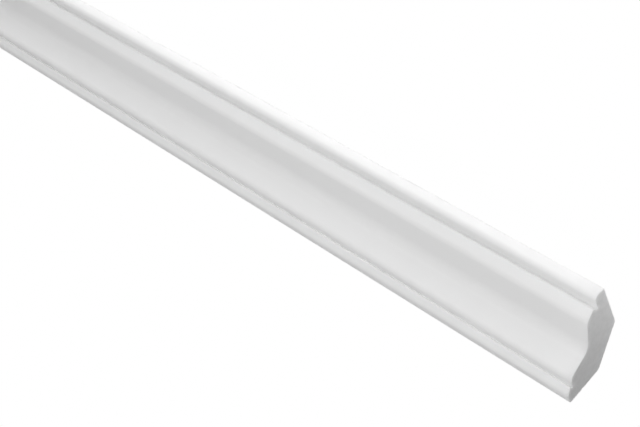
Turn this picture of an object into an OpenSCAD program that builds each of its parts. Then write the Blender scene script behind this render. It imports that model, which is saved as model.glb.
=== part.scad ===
// Crown moulding length: one solid strip of rigid foam, cut square at both ends.
// It is drawn as fixed: the wall is the plane y = 0, the ceiling lies on top, and +Y points into the wall.
// +Z is up and +X runs along the strip. The origin is the centre of the flat face that meets the wall.
// In the section, "out" is measured from the wall and "down" from the ceiling, in millimetres.

/* [Size] */
// Length of the strip between its square ends
length = 1000; // [100:10:3000]
// Reach along the ceiling, from the wall to the front of the nosing
projection = 60; // [50:0.5:90]
// Reach down the wall, from the ceiling to the underside of the foot
drop = 51.5; // [43:0.5:90]

/* [Back] */
// Distance from the corner of the room at which the sloping back cuts off each contact face
back_setback = 23.5; // [12:0.5:29]
// Radius of the two blunt edges of the sloping back
back_round = 2.5; // [0.5:0.5:5]

/* [Nosing] */
// Height of the nosing, the square roll along the ceiling
nosing_height = 9; // [8.5:0.5:11]
// How much lower the underside of the nosing lies at the quirk than at the front
nosing_fall = 0.4; // [0.2:0.1:0.8]
// How far the top edge of the nosing stands back from its front
nosing_lean = 1.1; // [0.6:0.1:2]
// Height over which the front of the nosing leans out from that edge
lean_height = 4; // [3:0.5:4.5]
// Radius where the leaning part of the front meets the upright part
lean_round = 4; // [1:0.5:6]
// How far the nosing stands out over the quirk under it
nosing_overhang = 10.2; // [8:0.2:12.4]
// Radius of the lower front edge of the nosing
nosing_round = 3.5; // [1:0.5:4]
// Radius of the top front edge of the nosing
nosing_edge = 0.8; // [0.4:0.1:1.5]

/* [Quirks] */
// Height of the flat floor of the upper quirk
quirk_height = 0.9; // [0.8:0.1:2]
// Radius in the corners of both quirks
quirk_round = 0.3; // [0.2:0.1:0.4]

/* [Ovolo] */
// How far the brow of the ovolo stands out from the floor of the upper quirk
brow_out = 3.1; // [2.6:0.1:4]
// Height of the brow, from the floor of the quirk down to its tip
brow_height = 1.5; // [1.2:0.1:2.4]
// Radius of the brow
brow_round = 1.5; // [0.5:0.1:2]
// How far the shoulder of the ovolo falls back from the brow
shoulder_back = 5; // [4:0.1:6.4]
// How far the shoulder lies under the brow
shoulder_down = 8; // [6.7:0.1:10]
// Radius of the shoulder
shoulder_round = 7.5; // [4:0.5:10]

/* [Cove] */
// Distance from the wall to the corner that the cove rounds
cove_out = 26.2; // [21.8:0.1:32]
// Distance from the ceiling to the corner that the cove rounds
cove_down = 25.9; // [21.5:0.1:31.1]
// Radius of the cove
cove_round = 10.5; // [5:0.5:14]

/* [Apron] */
// Distance from the wall to the lower edge of the apron, the steep face under the cove
apron_out = 18.5; // [16:0.1:22.2]
// Radius of the lower edge of the apron
apron_round = 6; // [2:0.5:7]

/* [Foot] */
// Height of the foot, the small moulding that ends the strip on the wall
foot_height = 5.8; // [5:0.1:7]
// Distance from the wall to the inner corner of the lower quirk
foot_quirk_out = 10.4; // [8.7:0.1:11.9]
// How far the lip of the foot stands out from that corner
lip_out = 2; // [1.6:0.1:2.4]
// Height of the slope that runs out to the lip
lip_height = 1.4; // [1.2:0.1:2]
// Radius of the lip
lip_round = 0.7; // [0.3:0.1:0.9]
// Distance from the wall to the toe, where the front of the foot meets its underside
toe_out = 8; // [6.7:0.1:9.6]
// Radius of the toe
toe_round = 6; // [1:0.5:7]
// Radius of the bottom edge that lies against the wall
heel_round = 1.5; // [0.5:0.5:3]

/* [Hidden] */

// Largest angle between the points of an arc, in degrees
ARC_STEP = 7.5;

// Places in the section that follow from the sizes above
quirk_out = projection - nosing_overhang;
quirk_down = nosing_height + nosing_fall;
brow_down = quirk_down + quirk_height + brow_height;
shoulder_out = quirk_out + brow_out - shoulder_back;
foot_down = drop - foot_height;

// The wall face runs between the blunt edge of the back and the heel, and the origin lies halfway
wall_face_top = back_setback + back_round * tan(45 / 2);
wall_face_bottom = drop - heel_round;
origin_down = (wall_face_top + wall_face_bottom) / 2;

// Corners of the section as [out, down, radius], round from the ceiling face down the front and up the back
CORNERS = [
    [back_setback, 0, back_round],
    [projection - nosing_lean, 0, nosing_edge],
    [projection, lean_height, lean_round],
    [projection, nosing_height, nosing_round],
    [quirk_out, quirk_down, quirk_round],
    [quirk_out, quirk_down + quirk_height, quirk_round],
    [quirk_out + brow_out, brow_down, brow_round],
    [shoulder_out, brow_down + shoulder_down, shoulder_round],
    [cove_out, cove_down, cove_round],
    [apron_out, foot_down, apron_round],
    [foot_quirk_out, foot_down, quirk_round],
    [foot_quirk_out + lip_out, foot_down + lip_height, lip_round],
    [toe_out, drop, toe_round],
    [0, drop, heel_round],
    [0, back_setback, back_round]
];
COUNT = len(CORNERS);

// Corner i in the plane of the section, with the wall along x = 0 and y upwards
function corner(i) = [-CORNERS[i][0], origin_down - CORNERS[i][1]];
function radius(i) = CORNERS[i][2];
function unit(v) = v / norm(v);
function turned(v, angle) = [v.x * cos(angle) - v.y * sin(angle), v.x * sin(angle) + v.y * cos(angle)];

// Corner i rounded: an arc that touches both of the sides that meet there, drawn with its own radius
function rounded(i) =
    let (
        to_last = unit(corner((i + COUNT - 1) % COUNT) - corner(i)),
        to_next = unit(corner((i + 1) % COUNT) - corner(i)),
        half_angle = acos(to_last * to_next) / 2,
        centre = corner(i) + unit(to_last + to_next) * radius(i) / sin(half_angle),
        start = corner(i) + to_last * radius(i) / tan(half_angle) - centre,
        is_hollow = cross(to_last, to_next) > 0,
        sweep = (is_hollow ? -1 : 1) * (180 - 2 * half_angle),
        steps = ceil(abs(sweep) / ARC_STEP)
    )
    [for (k = [0 : steps]) centre + turned(start, sweep * k / steps)];

module section() {
    polygon([for (i = [0 : COUNT - 1]) each rounded(i)]);
}

module crown_moulding() {
    color("whitesmoke")
        translate([-length / 2, 0, 0])
            rotate([90, 0, 90])
                linear_extrude(height = length)
                    section();
}

crown_moulding();
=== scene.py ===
"""Looks of a crown moulding length: a white primed foam strip with two sawn ends, in a pale studio."""

import math

import bmesh
import bpy
from mathutils import Matrix, Vector, kdtree, noise


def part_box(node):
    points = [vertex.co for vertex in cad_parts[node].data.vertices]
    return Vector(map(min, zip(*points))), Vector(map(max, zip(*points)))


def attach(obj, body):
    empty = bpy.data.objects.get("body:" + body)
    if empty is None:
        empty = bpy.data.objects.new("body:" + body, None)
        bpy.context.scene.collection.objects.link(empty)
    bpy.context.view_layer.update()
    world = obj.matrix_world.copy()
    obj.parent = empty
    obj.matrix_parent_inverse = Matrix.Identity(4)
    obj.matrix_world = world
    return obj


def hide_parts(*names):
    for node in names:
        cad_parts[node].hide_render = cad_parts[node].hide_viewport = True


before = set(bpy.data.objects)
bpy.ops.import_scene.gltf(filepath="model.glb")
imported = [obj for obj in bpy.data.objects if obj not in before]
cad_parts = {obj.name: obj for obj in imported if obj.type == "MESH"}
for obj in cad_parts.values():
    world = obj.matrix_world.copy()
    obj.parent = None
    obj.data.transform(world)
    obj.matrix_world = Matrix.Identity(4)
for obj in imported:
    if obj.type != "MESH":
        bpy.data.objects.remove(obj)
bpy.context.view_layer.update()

NODE = "crown_moulding"
MM = 0.001

# ---- The strip: its ends and the room's surfaces come from the frame, the members are named here ----

LOW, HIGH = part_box(NODE)
WALL_Y = HIGH.y
CEILING_Z = HIGH.z
PROJECTION = HIGH.y - LOW.y
DROP = HIGH.z - LOW.z

BACK_SETBACK = 23.5 * MM
BACK_ROUND = 2.5 * MM
NOSING_HEIGHT = 9 * MM
NOSING_FALL = 0.4 * MM
NOSING_LEAN = 1.1 * MM
LEAN_HEIGHT = 4 * MM
LEAN_ROUND = 4 * MM
NOSING_OVERHANG = 10.2 * MM
NOSING_ROUND = 3.5 * MM
NOSING_EDGE = 0.8 * MM
QUIRK_HEIGHT = 0.9 * MM
QUIRK_ROUND = 0.3 * MM
BROW_OUT = 3.1 * MM
BROW_HEIGHT = 1.5 * MM
BROW_ROUND = 1.5 * MM
SHOULDER_BACK = 5 * MM
SHOULDER_DOWN = 8 * MM
SHOULDER_ROUND = 7.5 * MM
COVE_OUT = 26.2 * MM
COVE_DOWN = 25.9 * MM
COVE_ROUND = 10.5 * MM
APRON_OUT = 18.5 * MM
APRON_ROUND = 6 * MM
FOOT_HEIGHT = 5.8 * MM
FOOT_QUIRK_OUT = 10.4 * MM
LIP_OUT = 2 * MM
LIP_HEIGHT = 1.4 * MM
LIP_ROUND = 0.7 * MM
TOE_OUT = 8 * MM
TOE_ROUND = 6 * MM
HEEL_ROUND = 1.5 * MM

QUIRK_OUT = PROJECTION - NOSING_OVERHANG
QUIRK_DOWN = NOSING_HEIGHT + NOSING_FALL
BROW_DOWN = QUIRK_DOWN + QUIRK_HEIGHT + BROW_HEIGHT
SHOULDER_OUT = QUIRK_OUT + BROW_OUT - SHOULDER_BACK
FOOT_DOWN = DROP - FOOT_HEIGHT

# Corners of the section: out from the wall, down from the ceiling, radius
CORNERS = [
    (BACK_SETBACK, 0, BACK_ROUND),
    (PROJECTION - NOSING_LEAN, 0, NOSING_EDGE),
    (PROJECTION, LEAN_HEIGHT, LEAN_ROUND),
    (PROJECTION, NOSING_HEIGHT, NOSING_ROUND),
    (QUIRK_OUT, QUIRK_DOWN, QUIRK_ROUND),
    (QUIRK_OUT, QUIRK_DOWN + QUIRK_HEIGHT, QUIRK_ROUND),
    (QUIRK_OUT + BROW_OUT, BROW_DOWN, BROW_ROUND),
    (SHOULDER_OUT, BROW_DOWN + SHOULDER_DOWN, SHOULDER_ROUND),
    (COVE_OUT, COVE_DOWN, COVE_ROUND),
    (APRON_OUT, FOOT_DOWN, APRON_ROUND),
    (FOOT_QUIRK_OUT, FOOT_DOWN, QUIRK_ROUND),
    (FOOT_QUIRK_OUT + LIP_OUT, FOOT_DOWN + LIP_HEIGHT, LIP_ROUND),
    (TOE_OUT, DROP, TOE_ROUND),
    (0, DROP, HEEL_ROUND),
    (0, BACK_SETBACK, BACK_ROUND),
]
ARC_STEP = math.radians(3)
LENGTHWISE_CUTS = 39
# Edges shorter than this are closed up
FINEST_EDGE = 0.01 * MM

# The sawn ends: an eased arris, the denser skin inside it and the cut cells and saw marks of the core
ARRIS = 0.3 * MM
SKIN = 0.3 * MM
SKIN_FADE = 3 * MM
CORE_CELL = 0.45 * MM
CELL_RELIEF = 0.07 * MM
CELL_SIZE = 1.1 * MM
SAW_RELIEF = 0.03 * MM
SAW_PITCH = 1.7 * MM
SAW_LENGTH = 24 * MM
# Share of the relief that is left in the core right beside the skin
RELIEF_AT_SKIN = 0.25

# Material slots of the strip
PRIMED_FRONT, PLAIN_BACK, SAWN_END = range(3)
# A face turned further than this along the strip belongs to a sawn end
END_TURN = 0.5
# A face of the plain back may turn this little down or towards the room
BACK_SPILL = 0.1


def new_object(name, bm):
    """Turns a finished bmesh into an object of the scene."""
    mesh = bpy.data.meshes.new(name)
    bm.to_mesh(mesh)
    bm.free()
    made = bpy.data.objects.new(name, mesh)
    bpy.context.scene.collection.objects.link(made)
    return made


def corner_point(index):
    """Corner of the section at the near end, in the frame."""
    out, down, _ = CORNERS[index % len(CORNERS)]
    return Vector((HIGH.x, WALL_Y - out, CEILING_Z - down))


def spin_corner(bm, index):
    """Rounds one corner: a vertex spun about the centre of its radius. Returns the two ends of the arc."""
    corner = corner_point(index)
    radius = CORNERS[index][2]
    to_last = (corner_point(index - 1) - corner).normalized()
    to_next = (corner_point(index + 1) - corner).normalized()
    half_angle = to_last.angle(to_next) / 2
    centre = corner + (to_last + to_next).normalized() * radius / math.sin(half_angle)
    hollow = to_last.cross(to_next).x > 0
    sweep = (math.pi - 2 * half_angle) * (-1 if hollow else 1)
    touch = corner + to_last * radius / math.tan(half_angle)
    first = bmesh.ops.create_vert(bm, co=touch)["vert"][0]
    spun = bmesh.ops.spin(
        bm, geom=[first], cent=centre, axis=(1, 0, 0), dvec=(0, 0, 0),
        angle=sweep, steps=math.ceil(abs(sweep) / ARC_STEP), use_duplicate=False,
    )
    last = next(v for v in spun["geom_last"] if isinstance(v, bmesh.types.BMVert))
    return first, last


def section_face(bm):
    """The whole section at the near end as one flat face."""
    arcs = [spin_corner(bm, index) for index in range(len(CORNERS))]
    for (_, leave), (enter, _) in zip(arcs, arcs[1:] + arcs[:1]):
        bm.edges.new((leave, enter))
    return bmesh.ops.contextual_create(bm, geom=bm.edges[:])["faces"][0]


def draw_out(bm, face):
    """Extrudes the section to the far end and divides the long faces. Returns the two end faces."""
    grown = bmesh.ops.extrude_face_region(bm, geom=[face], use_keep_orig=True)["geom"]
    far_face = next(g for g in grown if isinstance(g, bmesh.types.BMFace) and len(g.verts) > 4)
    length = HIGH.x - LOW.x
    bmesh.ops.translate(bm, verts=far_face.verts, vec=(-length, 0, 0))
    long_edges = [e for e in bm.edges if abs(e.verts[0].co.x - e.verts[1].co.x) > length / 2]
    bmesh.ops.subdivide_edges(bm, edges=long_edges, cuts=LENGTHWISE_CUTS, use_grid_fill=True)
    bmesh.ops.recalc_face_normals(bm, faces=bm.faces)
    return [f for f in bm.faces if len(f.verts) > 4]


def flat(point):
    """The point moved into the plane of the section."""
    return Vector((0, point.y, point.z))


def lies_on_end(face):
    """True for a sawn end with its eased arris."""
    return abs(face.normal.x) > END_TURN


def lies_on_back(face):
    """True for what looks up or into the wall: the ceiling face, the sloping back and the wall face."""
    return min(face.normal.y, face.normal.z) > -BACK_SPILL


def ease_arris(bm, end, end_x):
    """Insets an end face for the eased arris and the skin. Returns a search tree of its outline."""
    for width in (ARRIS, SKIN):
        bmesh.ops.inset_region(
            bm, faces=[end], thickness=width, depth=0, use_even_offset=True, use_boundary=True
        )
    bm.normal_update()
    outline = [
        v for v in bm.verts
        if abs(v.co.x - end_x) < ARRIS and any(not lies_on_end(f) for f in v.link_faces)
    ]
    bmesh.ops.translate(bm, verts=outline, vec=(-math.copysign(ARRIS, end_x), 0, 0))
    rim = kdtree.KDTree(len(outline))
    for index, vert in enumerate(outline):
        rim.insert(flat(vert.co), index)
    rim.balance()
    return rim


def cut_cells(bm, end):
    """Cuts the core of an end face into a fine grid. Returns its faces."""
    faces = [end]
    for axis, low, high in ((Vector((0, 1, 0)), LOW.y, HIGH.y), (Vector((0, 0, 1)), LOW.z, HIGH.z)):
        for step in range(1, int((high - low) / CORE_CELL)):
            spot = axis * (low + step * CORE_CELL)
            edges = list({e for f in faces for e in f.edges})
            verts = list({v for f in faces for v in f.verts})
            cut = bmesh.ops.bisect_plane(
                bm, geom=verts + edges + faces, dist=FINEST_EDGE, plane_co=spot, plane_no=axis
            )
            faces = [g for g in cut["geom"] if isinstance(g, bmesh.types.BMFace)]
    return faces


def roughen_core(core, rim, end_x):
    """Sinks the cut cells by noise and faint saw marks, less towards the dense skin."""
    for vert in {v for f in core for v in f.verts}:
        place = flat(vert.co)
        inside = rim.find(place)[2] - ARRIS - SKIN
        if inside < CORE_CELL / 2:
            continue
        share = RELIEF_AT_SKIN + (1 - RELIEF_AT_SKIN) * min(1, inside / SKIN_FADE)
        cells = noise.noise(place / CELL_SIZE + Vector((end_x, 0, 0)))
        saw = noise.noise(Vector((end_x, place.y / SAW_PITCH, place.z / SAW_LENGTH)))
        sink = share * (CELL_RELIEF * (1 + cells) + SAW_RELIEF * (1 + saw)) / 2
        vert.co.x -= math.copysign(sink, end_x)


def mark_skin_and_edge_light(bm, rim, end_x):
    """Writes the skin layer: 1 on the outline of a sawn end, fading to 0 inside the core. It makes the edge
    paler, partly for the denser skin and partly as painted light along the cut edge.
    """
    layer = bm.verts.layers.float.get("skin") or bm.verts.layers.float.new("skin")
    for vert in bm.verts:
        if abs(vert.co.x - end_x) < 2 * ARRIS:
            vert[layer] = max(0, 1 - rim.find(flat(vert.co))[2] / SKIN_FADE)


def saw_end(bm, end):
    """Finishes one cut end: eased arris, dense skin with a paler edge that is partly painted edge light,
    and the rough core, which is shaded smooth.
    """
    end_x = end.calc_center_median().x
    rim = ease_arris(bm, end, end_x)
    core = cut_cells(bm, end)
    roughen_core(core, rim, end_x)
    mark_skin_and_edge_light(bm, rim, end_x)
    for face in core:
        face.smooth = True


def slot_for(face):
    """The material slot that a face takes, from the way that it looks."""
    if lies_on_end(face):
        return SAWN_END
    return PLAIN_BACK if lies_on_back(face) else PRIMED_FRONT


def crown_moulding_strip():
    """The whole strip as one closed mesh with a moulded front, a plain back and two sawn ends."""
    bm = bmesh.new()
    ends = draw_out(bm, section_face(bm))
    for face in bm.faces:
        face.smooth = face not in ends
    for end in ends:
        saw_end(bm, end)
    bmesh.ops.dissolve_degenerate(bm, dist=FINEST_EDGE, edges=bm.edges[:])
    bm.normal_update()
    for face in bm.faces:
        face.material_index = slot_for(face)
    strip = new_object("crown_moulding_strip", bm)
    for material in (primed_front(), plain_back(), sawn_foam()):
        strip.data.materials.append(material)
    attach(strip, "root")
    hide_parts(NODE)


# ---- Materials ----

# How deep light scatters, alike in all colours, in the primer and in the bare foam
SCATTER = (1, 1, 1)
PRIMER_DEPTH = 6 * MM
FOAM_DEPTH = 2 * MM
# How high the fine relief of each surface stands
PRIMER_PEEL = 0.006 * MM
BACK_DENTS = 0.06 * MM
SAWN_GRAIN = 0.03 * MM
# Tone at the edge of a sawn end: the denser skin, made paler still as painted light on the cut edge
SKIN_AND_EDGE_LIGHT_TONE = 0.94
# Noise seldom leaves this span, so it is stretched to the full range of the clouds
NOISE_LOW = 0.25
NOISE_HIGH = 0.75
MM_IN_METRE = 1000


def cloud_group():
    """Node group: a cloudy value from Low to High. Stretch under 1 draws the clouds out along the strip."""
    group = bpy.data.node_groups.new("clouds", "ShaderNodeTree")
    for name in ("Size mm", "Stretch", "Low", "High"):
        group.interface.new_socket(name, in_out="INPUT", socket_type="NodeSocketFloat")
    group.interface.new_socket("Value", in_out="OUTPUT", socket_type="NodeSocketFloat")
    nodes, links = group.nodes, group.links
    given = nodes.new("NodeGroupInput")
    result = nodes.new("NodeGroupOutput")
    place = nodes.new("ShaderNodeTexCoord")
    stretch = nodes.new("ShaderNodeCombineXYZ")
    stretch.inputs["Y"].default_value = 1
    stretch.inputs["Z"].default_value = 1
    drawn = nodes.new("ShaderNodeVectorMath")
    drawn.operation = "MULTIPLY"
    scale = nodes.new("ShaderNodeMath")
    scale.operation = "DIVIDE"
    scale.inputs[0].default_value = MM_IN_METRE
    cloud = nodes.new("ShaderNodeTexNoise")
    spread = nodes.new("ShaderNodeMapRange")
    spread.inputs["From Min"].default_value = NOISE_LOW
    spread.inputs["From Max"].default_value = NOISE_HIGH
    links.new(given.outputs["Stretch"], stretch.inputs["X"])
    links.new(place.outputs["Object"], drawn.inputs[0])
    links.new(stretch.outputs["Vector"], drawn.inputs[1])
    links.new(given.outputs["Size mm"], scale.inputs[1])
    links.new(drawn.outputs["Vector"], cloud.inputs["Vector"])
    links.new(scale.outputs["Value"], cloud.inputs["Scale"])
    links.new(cloud.outputs["Fac"], spread.inputs["Value"])
    links.new(given.outputs["Low"], spread.inputs["To Min"])
    links.new(given.outputs["High"], spread.inputs["To Max"])
    links.new(spread.outputs["Result"], result.inputs["Value"])
    return group


CLOUDS = cloud_group()


def new_material(name):
    """An empty material with its node tree and its shader."""
    material = bpy.data.materials.new(name)
    material.use_nodes = True
    return material, material.node_tree, material.node_tree.nodes["Principled BSDF"]


def foam_material(name, depth):
    """A material into which light scatters to the given depth."""
    material, tree, shader = new_material(name)
    shader.inputs["Subsurface Weight"].default_value = 1
    shader.inputs["Subsurface Radius"].default_value = SCATTER
    shader.inputs["Subsurface Scale"].default_value = depth
    return material, tree, shader


def clouds(tree, size_mm, stretch, low, high):
    """Adds one cloudy value to a material and returns its socket."""
    node = tree.nodes.new("ShaderNodeGroup")
    node.node_tree = CLOUDS
    node.inputs["Size mm"].default_value = size_mm
    node.inputs["Stretch"].default_value = stretch
    node.inputs["Low"].default_value = low
    node.inputs["High"].default_value = high
    return node.outputs["Value"]


def summed(tree, first, second):
    """Adds two values and returns the socket of their sum."""
    node = tree.nodes.new("ShaderNodeMath")
    tree.links.new(first, node.inputs[0])
    tree.links.new(second, node.inputs[1])
    return node.outputs["Value"]


def raised(tree, height, distance):
    """Bump whose whole height range stands for the given distance."""
    bump = tree.nodes.new("ShaderNodeBump")
    bump.inputs["Distance"].default_value = distance
    tree.links.new(height, bump.inputs["Height"])
    return bump.outputs["Normal"]


def primed_front():
    """Smooth satin primer: hardly any tone, a fine peel and very faint lines drawn along the strip."""
    material, tree, shader = foam_material("primed front", PRIMER_DEPTH)
    peel = clouds(tree, size_mm=1.6, stretch=1, low=0, high=1)
    drawn_lines = clouds(tree, size_mm=0.7, stretch=0.02, low=0, high=0.5)
    tone = clouds(tree, size_mm=60, stretch=0.3, low=0.874, high=0.886)
    gloss = clouds(tree, size_mm=25, stretch=0.2, low=0.44, high=0.56)
    tree.links.new(tone, shader.inputs["Base Color"])
    tree.links.new(gloss, shader.inputs["Roughness"])
    tree.links.new(raised(tree, summed(tree, peel, drawn_lines), PRIMER_PEEL), shader.inputs["Normal"])
    return material


def plain_back():
    """The side that is glued: the same foam skin, dull and a little uneven, with a coarser peel."""
    material, tree, shader = foam_material("plain back", FOAM_DEPTH)
    dents = clouds(tree, size_mm=9, stretch=0.5, low=0, high=1)
    peel = clouds(tree, size_mm=2.2, stretch=1, low=0, high=0.3)
    tone = clouds(tree, size_mm=35, stretch=0.4, low=0.83, high=0.87)
    gloss = clouds(tree, size_mm=18, stretch=0.4, low=0.62, high=0.78)
    tree.links.new(tone, shader.inputs["Base Color"])
    tree.links.new(gloss, shader.inputs["Roughness"])
    tree.links.new(raised(tree, summed(tree, dents, peel), BACK_DENTS), shader.inputs["Normal"])
    return material


def sawn_foam():
    """Fine-grained core of the cut ends, a little darker than the primer, paler at the edge, partly for the
    denser skin and partly as painted light on the cut edge.
    """
    material, tree, shader = foam_material("sawn foam", FOAM_DEPTH)
    mottle = clouds(tree, size_mm=4.5, stretch=1, low=0.775, high=0.845)
    speckle = clouds(tree, size_mm=0.6, stretch=1, low=-0.015, high=0.015)
    fine_grain = clouds(tree, size_mm=0.35, stretch=1, low=0, high=1)
    coarse_grain = clouds(tree, size_mm=1.2, stretch=1, low=0, high=0.6)
    gloss = clouds(tree, size_mm=1.5, stretch=1, low=0.72, high=0.88)
    # The skin layer makes the edge paler: partly the denser skin, partly painted edge light
    skin = tree.nodes.new("ShaderNodeAttribute")
    skin.attribute_name = "skin"
    tone = tree.nodes.new("ShaderNodeMix")
    tone.inputs["B"].default_value = SKIN_AND_EDGE_LIGHT_TONE
    tree.links.new(skin.outputs["Fac"], tone.inputs["Factor"])
    tree.links.new(summed(tree, mottle, speckle), tone.inputs["A"])
    tree.links.new(tone.outputs["Result"], shader.inputs["Base Color"])
    tree.links.new(gloss, shader.inputs["Roughness"])
    grain = summed(tree, fine_grain, coarse_grain)
    tree.links.new(raised(tree, grain, SAWN_GRAIN), shader.inputs["Normal"])
    return material


# ---- Studio ----

CAMERA_AIM = Vector((0.2765, -0.0254, -0.0017))
CAMERA_DISTANCE = 1.011
CAMERA_AZIMUTH = math.radians(39.91)
CAMERA_ELEVATION = math.radians(-15.11)
CAMERA_ROLL = math.radians(43.33)
CAMERA_LENS = 83.13

# Even light from all round, and the white floor's own share from below
ROOM_LIGHT = 0.1
FLOOR_LIGHT = 0.27
# What the camera sees of the floor and of the backdrop
FLOOR_SEEN = 0.55
BACKDROP_SEEN = 1
FLOOR_DEPTH = 4
FLOOR_RADIUS = 60
FLOOR_SIDES = 64
FLOOR_TONE = (0.85, 0.85, 0.85, 1)
FLOOR_ROUGHNESS = 0.9
WHITE = (1, 1, 1, 1)
# Soft boxes: name, place, width, power in watts
SOFT_BOXES = [
    ("near front from below", (1.1, -1.3, -0.75), 0.7, 9.9),
    ("front from below", (0.3, -1.25, -0.8), 0.7, 1.4),
    ("front level", (0.1, -1.5, 0), 0.7, 3.7),
    ("front from above", (0.25, -0.75, 1.3), 0.7, 4.0),
    ("far front from above", (-0.7, -1.15, 0.96), 0.7, 10.8),
    ("ceiling", (0.7, -0.26, 1.48), 0.7, 3.0),
    ("over the near tip", (0.56, -0.062, 0.08), 0.06, 0.018),
    ("back", (0.2, 1.3, 0.65), 0.8, 13.0),
    ("back from above", (-0.5, 1.0, 1.2), 0.8, 6.0),
    ("far end", (-1.5, 0.3, 0.4), 0.7, 3.0),
]


def camera():
    """Looks up along the strip from in front of its near end, turned about the line of sight."""
    data = bpy.data.cameras.new("camera")
    data.lens = CAMERA_LENS
    data.clip_start = 0.01
    data.clip_end = 100
    cam = bpy.data.objects.new("camera", data)
    back = Vector((
        math.sin(CAMERA_AZIMUTH) * math.cos(CAMERA_ELEVATION),
        -math.cos(CAMERA_AZIMUTH) * math.cos(CAMERA_ELEVATION),
        math.sin(CAMERA_ELEVATION),
    ))
    turn = (-back).to_track_quat("-Z", "Y").to_matrix() @ Matrix.Rotation(CAMERA_ROLL, 3, "Z")
    cam.matrix_world = Matrix.Translation(CAMERA_AIM + back * CAMERA_DISTANCE) @ turn.to_4x4()
    bpy.context.scene.collection.objects.link(cam)
    bpy.context.scene.camera = cam


def soft_box(name, place, width, power):
    """A square soft light that faces the middle of the strip and stays out of the picture."""
    data = bpy.data.lights.new(name, "AREA")
    data.shape = "SQUARE"
    data.size = width
    data.energy = power
    box = bpy.data.objects.new(name, data)
    place = Vector(place)
    box.matrix_world = Matrix.Translation(place) @ (-place).to_track_quat("-Z", "Y").to_matrix().to_4x4()
    box.visible_camera = False
    bpy.context.scene.collection.objects.link(box)


def seen_or_lit(tree, seen, lit):
    """A strength with one value for the camera and another for the light it gives. Returns its socket."""
    path = tree.nodes.new("ShaderNodeLightPath")
    choice = tree.nodes.new("ShaderNodeMix")
    choice.inputs["A"].default_value = lit
    choice.inputs["B"].default_value = seen
    tree.links.new(path.outputs["Is Camera Ray"], choice.inputs["Factor"])
    return choice.outputs["Result"]


def room_light():
    """White backdrop for the camera, and a weaker even light for everything else."""
    world = bpy.data.worlds.new("room")
    world.use_nodes = True
    backdrop = world.node_tree.nodes["Background"]
    backdrop.inputs["Color"].default_value = WHITE
    strength = seen_or_lit(world.node_tree, BACKDROP_SEEN, ROOM_LIGHT)
    world.node_tree.links.new(strength, backdrop.inputs["Strength"])
    bpy.context.scene.world = world
    bpy.context.scene.view_settings.view_transform = "Standard"


def floor():
    """Pale round floor far below the strip, white enough to send light back up."""
    bm = bmesh.new()
    bmesh.ops.create_circle(bm, cap_ends=True, radius=FLOOR_RADIUS, segments=FLOOR_SIDES)
    bmesh.ops.translate(bm, verts=bm.verts, vec=(0, 0, -FLOOR_DEPTH))
    ground = new_object("floor", bm)
    material, tree, shader = new_material("pale floor")
    shader.inputs["Base Color"].default_value = FLOOR_TONE
    shader.inputs["Roughness"].default_value = FLOOR_ROUGHNESS
    shader.inputs["Emission Color"].default_value = WHITE
    tree.links.new(seen_or_lit(tree, FLOOR_SEEN, FLOOR_LIGHT), shader.inputs["Emission Strength"])
    ground.data.materials.append(material)


camera()
room_light()
floor()
for box in SOFT_BOXES:
    soft_box(*box)
crown_moulding_strip()
